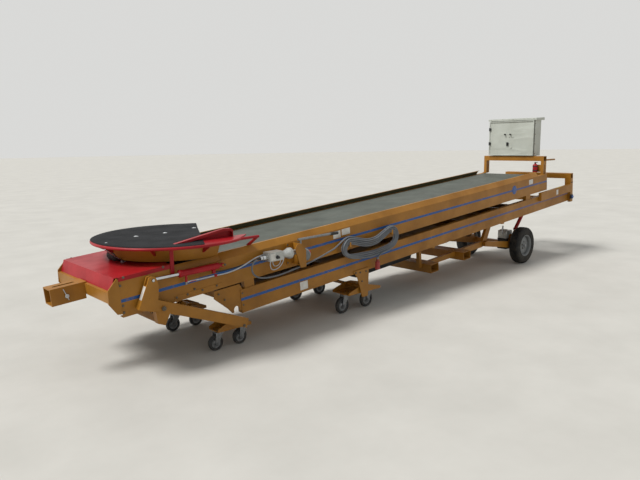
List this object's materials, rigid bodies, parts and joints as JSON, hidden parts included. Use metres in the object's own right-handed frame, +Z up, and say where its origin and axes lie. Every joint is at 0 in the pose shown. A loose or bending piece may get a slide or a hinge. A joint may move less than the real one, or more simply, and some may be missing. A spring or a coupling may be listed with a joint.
{
  "type": "mobile telescopic belt conveyor",
  "caption": "Telescopic belt conveyor on two road wheels and swivelling castors, with a round loading table, hydraulic front lever, control cabinet and tow socket.",
  "frame": {"origin": "on the floor, at the middle of the machine's length and width", "axes": "+X along the machine from the tow socket to the rear portal, +Z up, -Y is the side with the pump and the cable"},
  "size_m": [8.9082, 1.538, 2.408],
  "materials": {
    "ochre_paint": "satin",
    "red_paint": "gloss",
    "black_paint": "satin",
    "cream_paint": "satin",
    "zinc_steel": "satin",
    "bright_rod": "polished",
    "grey_paint": "satin",
    "belt_rubber": "matt",
    "mat_rubber": "matt",
    "tyre_rubber": "matt",
    "castor_rubber": "matt",
    "cable_grey": "matt",
    "hose_rubber": "matt",
    "plug_red": "satin",
    "pump_paint": "satin"
  },
  "bodies": {
    "chassis": {"lower_frame": "ochre_paint", "fork_pockets": "ochre_paint", "belly_pan": "black_paint", "rear_portal": "ochre_paint", "mid_stand": "ochre_paint"},
    "upper": {"upper_frame": "ochre_paint", "head_crossbar": "ochre_paint", "tow_socket": "ochre_paint", "hood": "red_paint", "table_plate": "mat_rubber", "table_rim": "red_paint", "table_skirt": "ochre_paint", "table_guard": "red_paint", "belt": "belt_rubber", "drums": "zinc_steel", "cabinet_portal": "ochre_paint", "cabinet": "cream_paint", "pump_bracket": "ochre_paint", "pump_unit": "pump_paint", "pump_lever": "zinc_steel", "pump_hoses": "hose_rubber", "cable_coil": "cable_grey", "supply_cable": "cable_grey", "cable_plug": "plug_red"},
    "door": {"cabinet_door": "cream_paint"},
    "lever": {"front_lever": "ochre_paint"},
    "axle": {"rear_axle": "ochre_paint", "drive_box": "grey_paint"},
    "lever_barrel_near": {"lever_barrel_near": "red_paint"},
    "lever_rod_near": {"lever_rod_near": "bright_rod"},
    "lever_barrel_far": {"lever_barrel_far": "red_paint"},
    "lever_rod_far": {"lever_rod_far": "bright_rod"},
    "axle_barrel_near": {"axle_barrel_near": "red_paint"},
    "axle_rod_near": {"axle_rod_near": "bright_rod"},
    "axle_barrel_far": {"axle_barrel_far": "red_paint"},
    "axle_rod_far": {"axle_rod_far": "bright_rod"},
    "road_wheel_near": {"road_rim_near": "grey_paint", "road_tyre_near": "tyre_rubber"},
    "mid_carrier_near": {"mid_carrier_near": "ochre_paint"},
    "front_carrier_near": {"front_carrier_near": "ochre_paint"},
    "road_wheel_far": {"road_rim_far": "grey_paint", "road_tyre_far": "tyre_rubber"},
    "mid_carrier_far": {"mid_carrier_far": "ochre_paint"},
    "front_carrier_far": {"front_carrier_far": "ochre_paint"},
    "castor_fork_front_near_a": {"castor_fork_front_near_a": "zinc_steel"},
    "castor_wheel_front_near_a": {"castor_wheel_front_near_a": "castor_rubber"},
    "castor_fork_front_near_b": {"castor_fork_front_near_b": "zinc_steel"},
    "castor_wheel_front_near_b": {"castor_wheel_front_near_b": "castor_rubber"},
    "castor_fork_front_far_a": {"castor_fork_front_far_a": "zinc_steel"},
    "castor_wheel_front_far_a": {"castor_wheel_front_far_a": "castor_rubber"},
    "castor_fork_front_far_b": {"castor_fork_front_far_b": "zinc_steel"},
    "castor_wheel_front_far_b": {"castor_wheel_front_far_b": "castor_rubber"},
    "castor_fork_mid_near_a": {"castor_fork_mid_near_a": "zinc_steel"},
    "castor_wheel_mid_near_a": {"castor_wheel_mid_near_a": "castor_rubber"},
    "castor_fork_mid_near_b": {"castor_fork_mid_near_b": "zinc_steel"},
    "castor_wheel_mid_near_b": {"castor_wheel_mid_near_b": "castor_rubber"},
    "castor_fork_mid_far_a": {"castor_fork_mid_far_a": "zinc_steel"},
    "castor_wheel_mid_far_a": {"castor_wheel_mid_far_a": "castor_rubber"},
    "castor_fork_mid_far_b": {"castor_fork_mid_far_b": "zinc_steel"},
    "castor_wheel_mid_far_b": {"castor_wheel_mid_far_b": "castor_rubber"}
  },
  "joints": [
    {"name": "telescope_slide", "type": "slide", "parent": "chassis", "child": "upper", "axis": [-0.9969, 0, -0.0785], "range_m": [0, 3]},
    {"name": "door_hinge", "type": "hinge", "parent": "upper", "child": "door", "pos_m": [3.42, 0.461, 2.05], "axis": [0, 0, -1], "range_deg": [0, 110]},
    {"name": "lever_hinge", "type": "hinge", "parent": "upper", "child": "lever", "pos_m": [-3.705, 0, 0.62], "axis": [0, 1, 0], "range_deg": [-4, 12]},
    {"name": "axle_hinge", "type": "hinge", "parent": "chassis", "child": "axle", "pos_m": [1.98581, 0, 0.42082], "axis": [0, 1, 0], "range_deg": [-6, 6]},
    {"name": "lever_barrel_near_hinge", "type": "hinge", "parent": "upper", "child": "lever_barrel_near", "pos_m": [-3.06291, -0.642, 0.90721], "axis": [0, 1, 0], "range_deg": [-0.31, 0.91]},
    {"name": "lever_rod_near_slide", "type": "slide", "parent": "lever_barrel_near", "child": "lever_rod_near", "axis": [-0.9995, 0, -0.0307], "range_m": [-0.05693, 0.01904]},
    {"name": "lever_barrel_far_hinge", "type": "hinge", "parent": "upper", "child": "lever_barrel_far", "pos_m": [-3.06291, 0.642, 0.90721], "axis": [0, 1, 0], "range_deg": [-0.31, 0.91]},
    {"name": "lever_rod_far_slide", "type": "slide", "parent": "lever_barrel_far", "child": "lever_rod_far", "axis": [-0.9995, 0, -0.0307], "range_m": [-0.05693, 0.01904]},
    {"name": "axle_barrel_near_hinge", "type": "hinge", "parent": "chassis", "child": "axle_barrel_near", "pos_m": [3.125, -0.383, 0.792], "axis": [0, 1, 0], "range_deg": [-7.06, 7.06]},
    {"name": "axle_rod_near_slide", "type": "slide", "parent": "axle_barrel_near", "child": "axle_rod_near", "axis": [-0.6894, 0, -0.7244], "range_m": [-0.05913, 0.05913]},
    {"name": "axle_barrel_far_hinge", "type": "hinge", "parent": "chassis", "child": "axle_barrel_far", "pos_m": [3.125, 0.383, 0.792], "axis": [0, 1, 0], "range_deg": [-7.06, 7.06]},
    {"name": "axle_rod_far_slide", "type": "slide", "parent": "axle_barrel_far", "child": "axle_rod_far", "axis": [-0.6894, 0, -0.7244], "range_m": [-0.05913, 0.05913]},
    {"name": "road_wheel_near_spin", "type": "hinge", "parent": "axle", "child": "road_wheel_near", "pos_m": [2.905, -0.51, 0.3], "axis": [0, 1, 0], "continuous": true},
    {"name": "mid_carrier_near_tilt", "type": "hinge", "parent": "chassis", "child": "mid_carrier_near", "pos_m": [-1.02, -0.43, 0.3], "axis": [0, 1, 0], "range_deg": [-8, 8]},
    {"name": "front_carrier_near_tilt", "type": "hinge", "parent": "lever", "child": "front_carrier_near", "pos_m": [-2.86, -0.43, 0.27], "axis": [0, 1, 0], "range_deg": [-14, 14]},
    {"name": "road_wheel_far_spin", "type": "hinge", "parent": "axle", "child": "road_wheel_far", "pos_m": [2.905, 0.51, 0.3], "axis": [0, 1, 0], "continuous": true},
    {"name": "mid_carrier_far_tilt", "type": "hinge", "parent": "chassis", "child": "mid_carrier_far", "pos_m": [-1.02, 0.43, 0.3], "axis": [0, 1, 0], "range_deg": [-8, 8]},
    {"name": "front_carrier_far_tilt", "type": "hinge", "parent": "lever", "child": "front_carrier_far", "pos_m": [-2.86, 0.43, 0.27], "axis": [0, 1, 0], "range_deg": [-14, 14]},
    {"name": "castor_front_near_a_swivel", "type": "hinge", "parent": "front_carrier_near", "child": "castor_fork_front_near_a", "pos_m": [-3.005, -0.43, 0.188], "axis": [0, 0, 1], "continuous": true},
    {"name": "castor_front_near_a_spin", "type": "hinge", "parent": "castor_fork_front_near_a", "child": "castor_wheel_front_near_a", "pos_m": [-3.045, -0.43, 0.08], "axis": [0, 1, 0], "continuous": true},
    {"name": "castor_front_near_b_swivel", "type": "hinge", "parent": "front_carrier_near", "child": "castor_fork_front_near_b", "pos_m": [-2.715, -0.43, 0.188], "axis": [0, 0, 1], "continuous": true},
    {"name": "castor_front_near_b_spin", "type": "hinge", "parent": "castor_fork_front_near_b", "child": "castor_wheel_front_near_b", "pos_m": [-2.755, -0.43, 0.08], "axis": [0, 1, 0], "continuous": true},
    {"name": "castor_front_far_a_swivel", "type": "hinge", "parent": "front_carrier_far", "child": "castor_fork_front_far_a", "pos_m": [-3.005, 0.43, 0.188], "axis": [0, 0, 1], "continuous": true},
    {"name": "castor_front_far_a_spin", "type": "hinge", "parent": "castor_fork_front_far_a", "child": "castor_wheel_front_far_a", "pos_m": [-3.045, 0.43, 0.08], "axis": [0, 1, 0], "continuous": true},
    {"name": "castor_front_far_b_swivel", "type": "hinge", "parent": "front_carrier_far", "child": "castor_fork_front_far_b", "pos_m": [-2.715, 0.43, 0.188], "axis": [0, 0, 1], "continuous": true},
    {"name": "castor_front_far_b_spin", "type": "hinge", "parent": "castor_fork_front_far_b", "child": "castor_wheel_front_far_b", "pos_m": [-2.755, 0.43, 0.08], "axis": [0, 1, 0], "continuous": true},
    {"name": "castor_mid_near_a_swivel", "type": "hinge", "parent": "mid_carrier_near", "child": "castor_fork_mid_near_a", "pos_m": [-1.21, -0.43, 0.228], "axis": [0, 0, 1], "continuous": true},
    {"name": "castor_mid_near_a_spin", "type": "hinge", "parent": "castor_fork_mid_near_a", "child": "castor_wheel_mid_near_a", "pos_m": [-1.26, -0.43, 0.1], "axis": [0, 1, 0], "continuous": true},
    {"name": "castor_mid_near_b_swivel", "type": "hinge", "parent": "mid_carrier_near", "child": "castor_fork_mid_near_b", "pos_m": [-0.79, -0.43, 0.228], "axis": [0, 0, 1], "continuous": true},
    {"name": "castor_mid_near_b_spin", "type": "hinge", "parent": "castor_fork_mid_near_b", "child": "castor_wheel_mid_near_b", "pos_m": [-0.84, -0.43, 0.1], "axis": [0, 1, 0], "continuous": true},
    {"name": "castor_mid_far_a_swivel", "type": "hinge", "parent": "mid_carrier_far", "child": "castor_fork_mid_far_a", "pos_m": [-1.21, 0.43, 0.228], "axis": [0, 0, 1], "continuous": true},
    {"name": "castor_mid_far_a_spin", "type": "hinge", "parent": "castor_fork_mid_far_a", "child": "castor_wheel_mid_far_a", "pos_m": [-1.26, 0.43, 0.1], "axis": [0, 1, 0], "continuous": true},
    {"name": "castor_mid_far_b_swivel", "type": "hinge", "parent": "mid_carrier_far", "child": "castor_fork_mid_far_b", "pos_m": [-0.79, 0.43, 0.228], "axis": [0, 0, 1], "continuous": true},
    {"name": "castor_mid_far_b_spin", "type": "hinge", "parent": "castor_fork_mid_far_b", "child": "castor_wheel_mid_far_b", "pos_m": [-0.84, 0.43, 0.1], "axis": [0, 1, 0], "continuous": true}
  ],
  "couplings": [
    {"joint": "lever_barrel_near_hinge", "follows": "lever_hinge", "ratio": 0.07513},
    {"joint": "lever_rod_near_slide", "follows": "lever_hinge", "m_per_rad": -0.27132},
    {"joint": "lever_barrel_far_hinge", "follows": "lever_hinge", "ratio": 0.07513},
    {"joint": "lever_rod_far_slide", "follows": "lever_hinge", "m_per_rad": -0.27132},
    {"joint": "axle_barrel_near_hinge", "follows": "axle_hinge", "ratio": -1.1752},
    {"joint": "axle_rod_near_slide", "follows": "axle_hinge", "m_per_rad": 0.56371},
    {"joint": "axle_barrel_far_hinge", "follows": "axle_hinge", "ratio": -1.1752},
    {"joint": "axle_rod_far_slide", "follows": "axle_hinge", "m_per_rad": 0.56371}
  ]
}
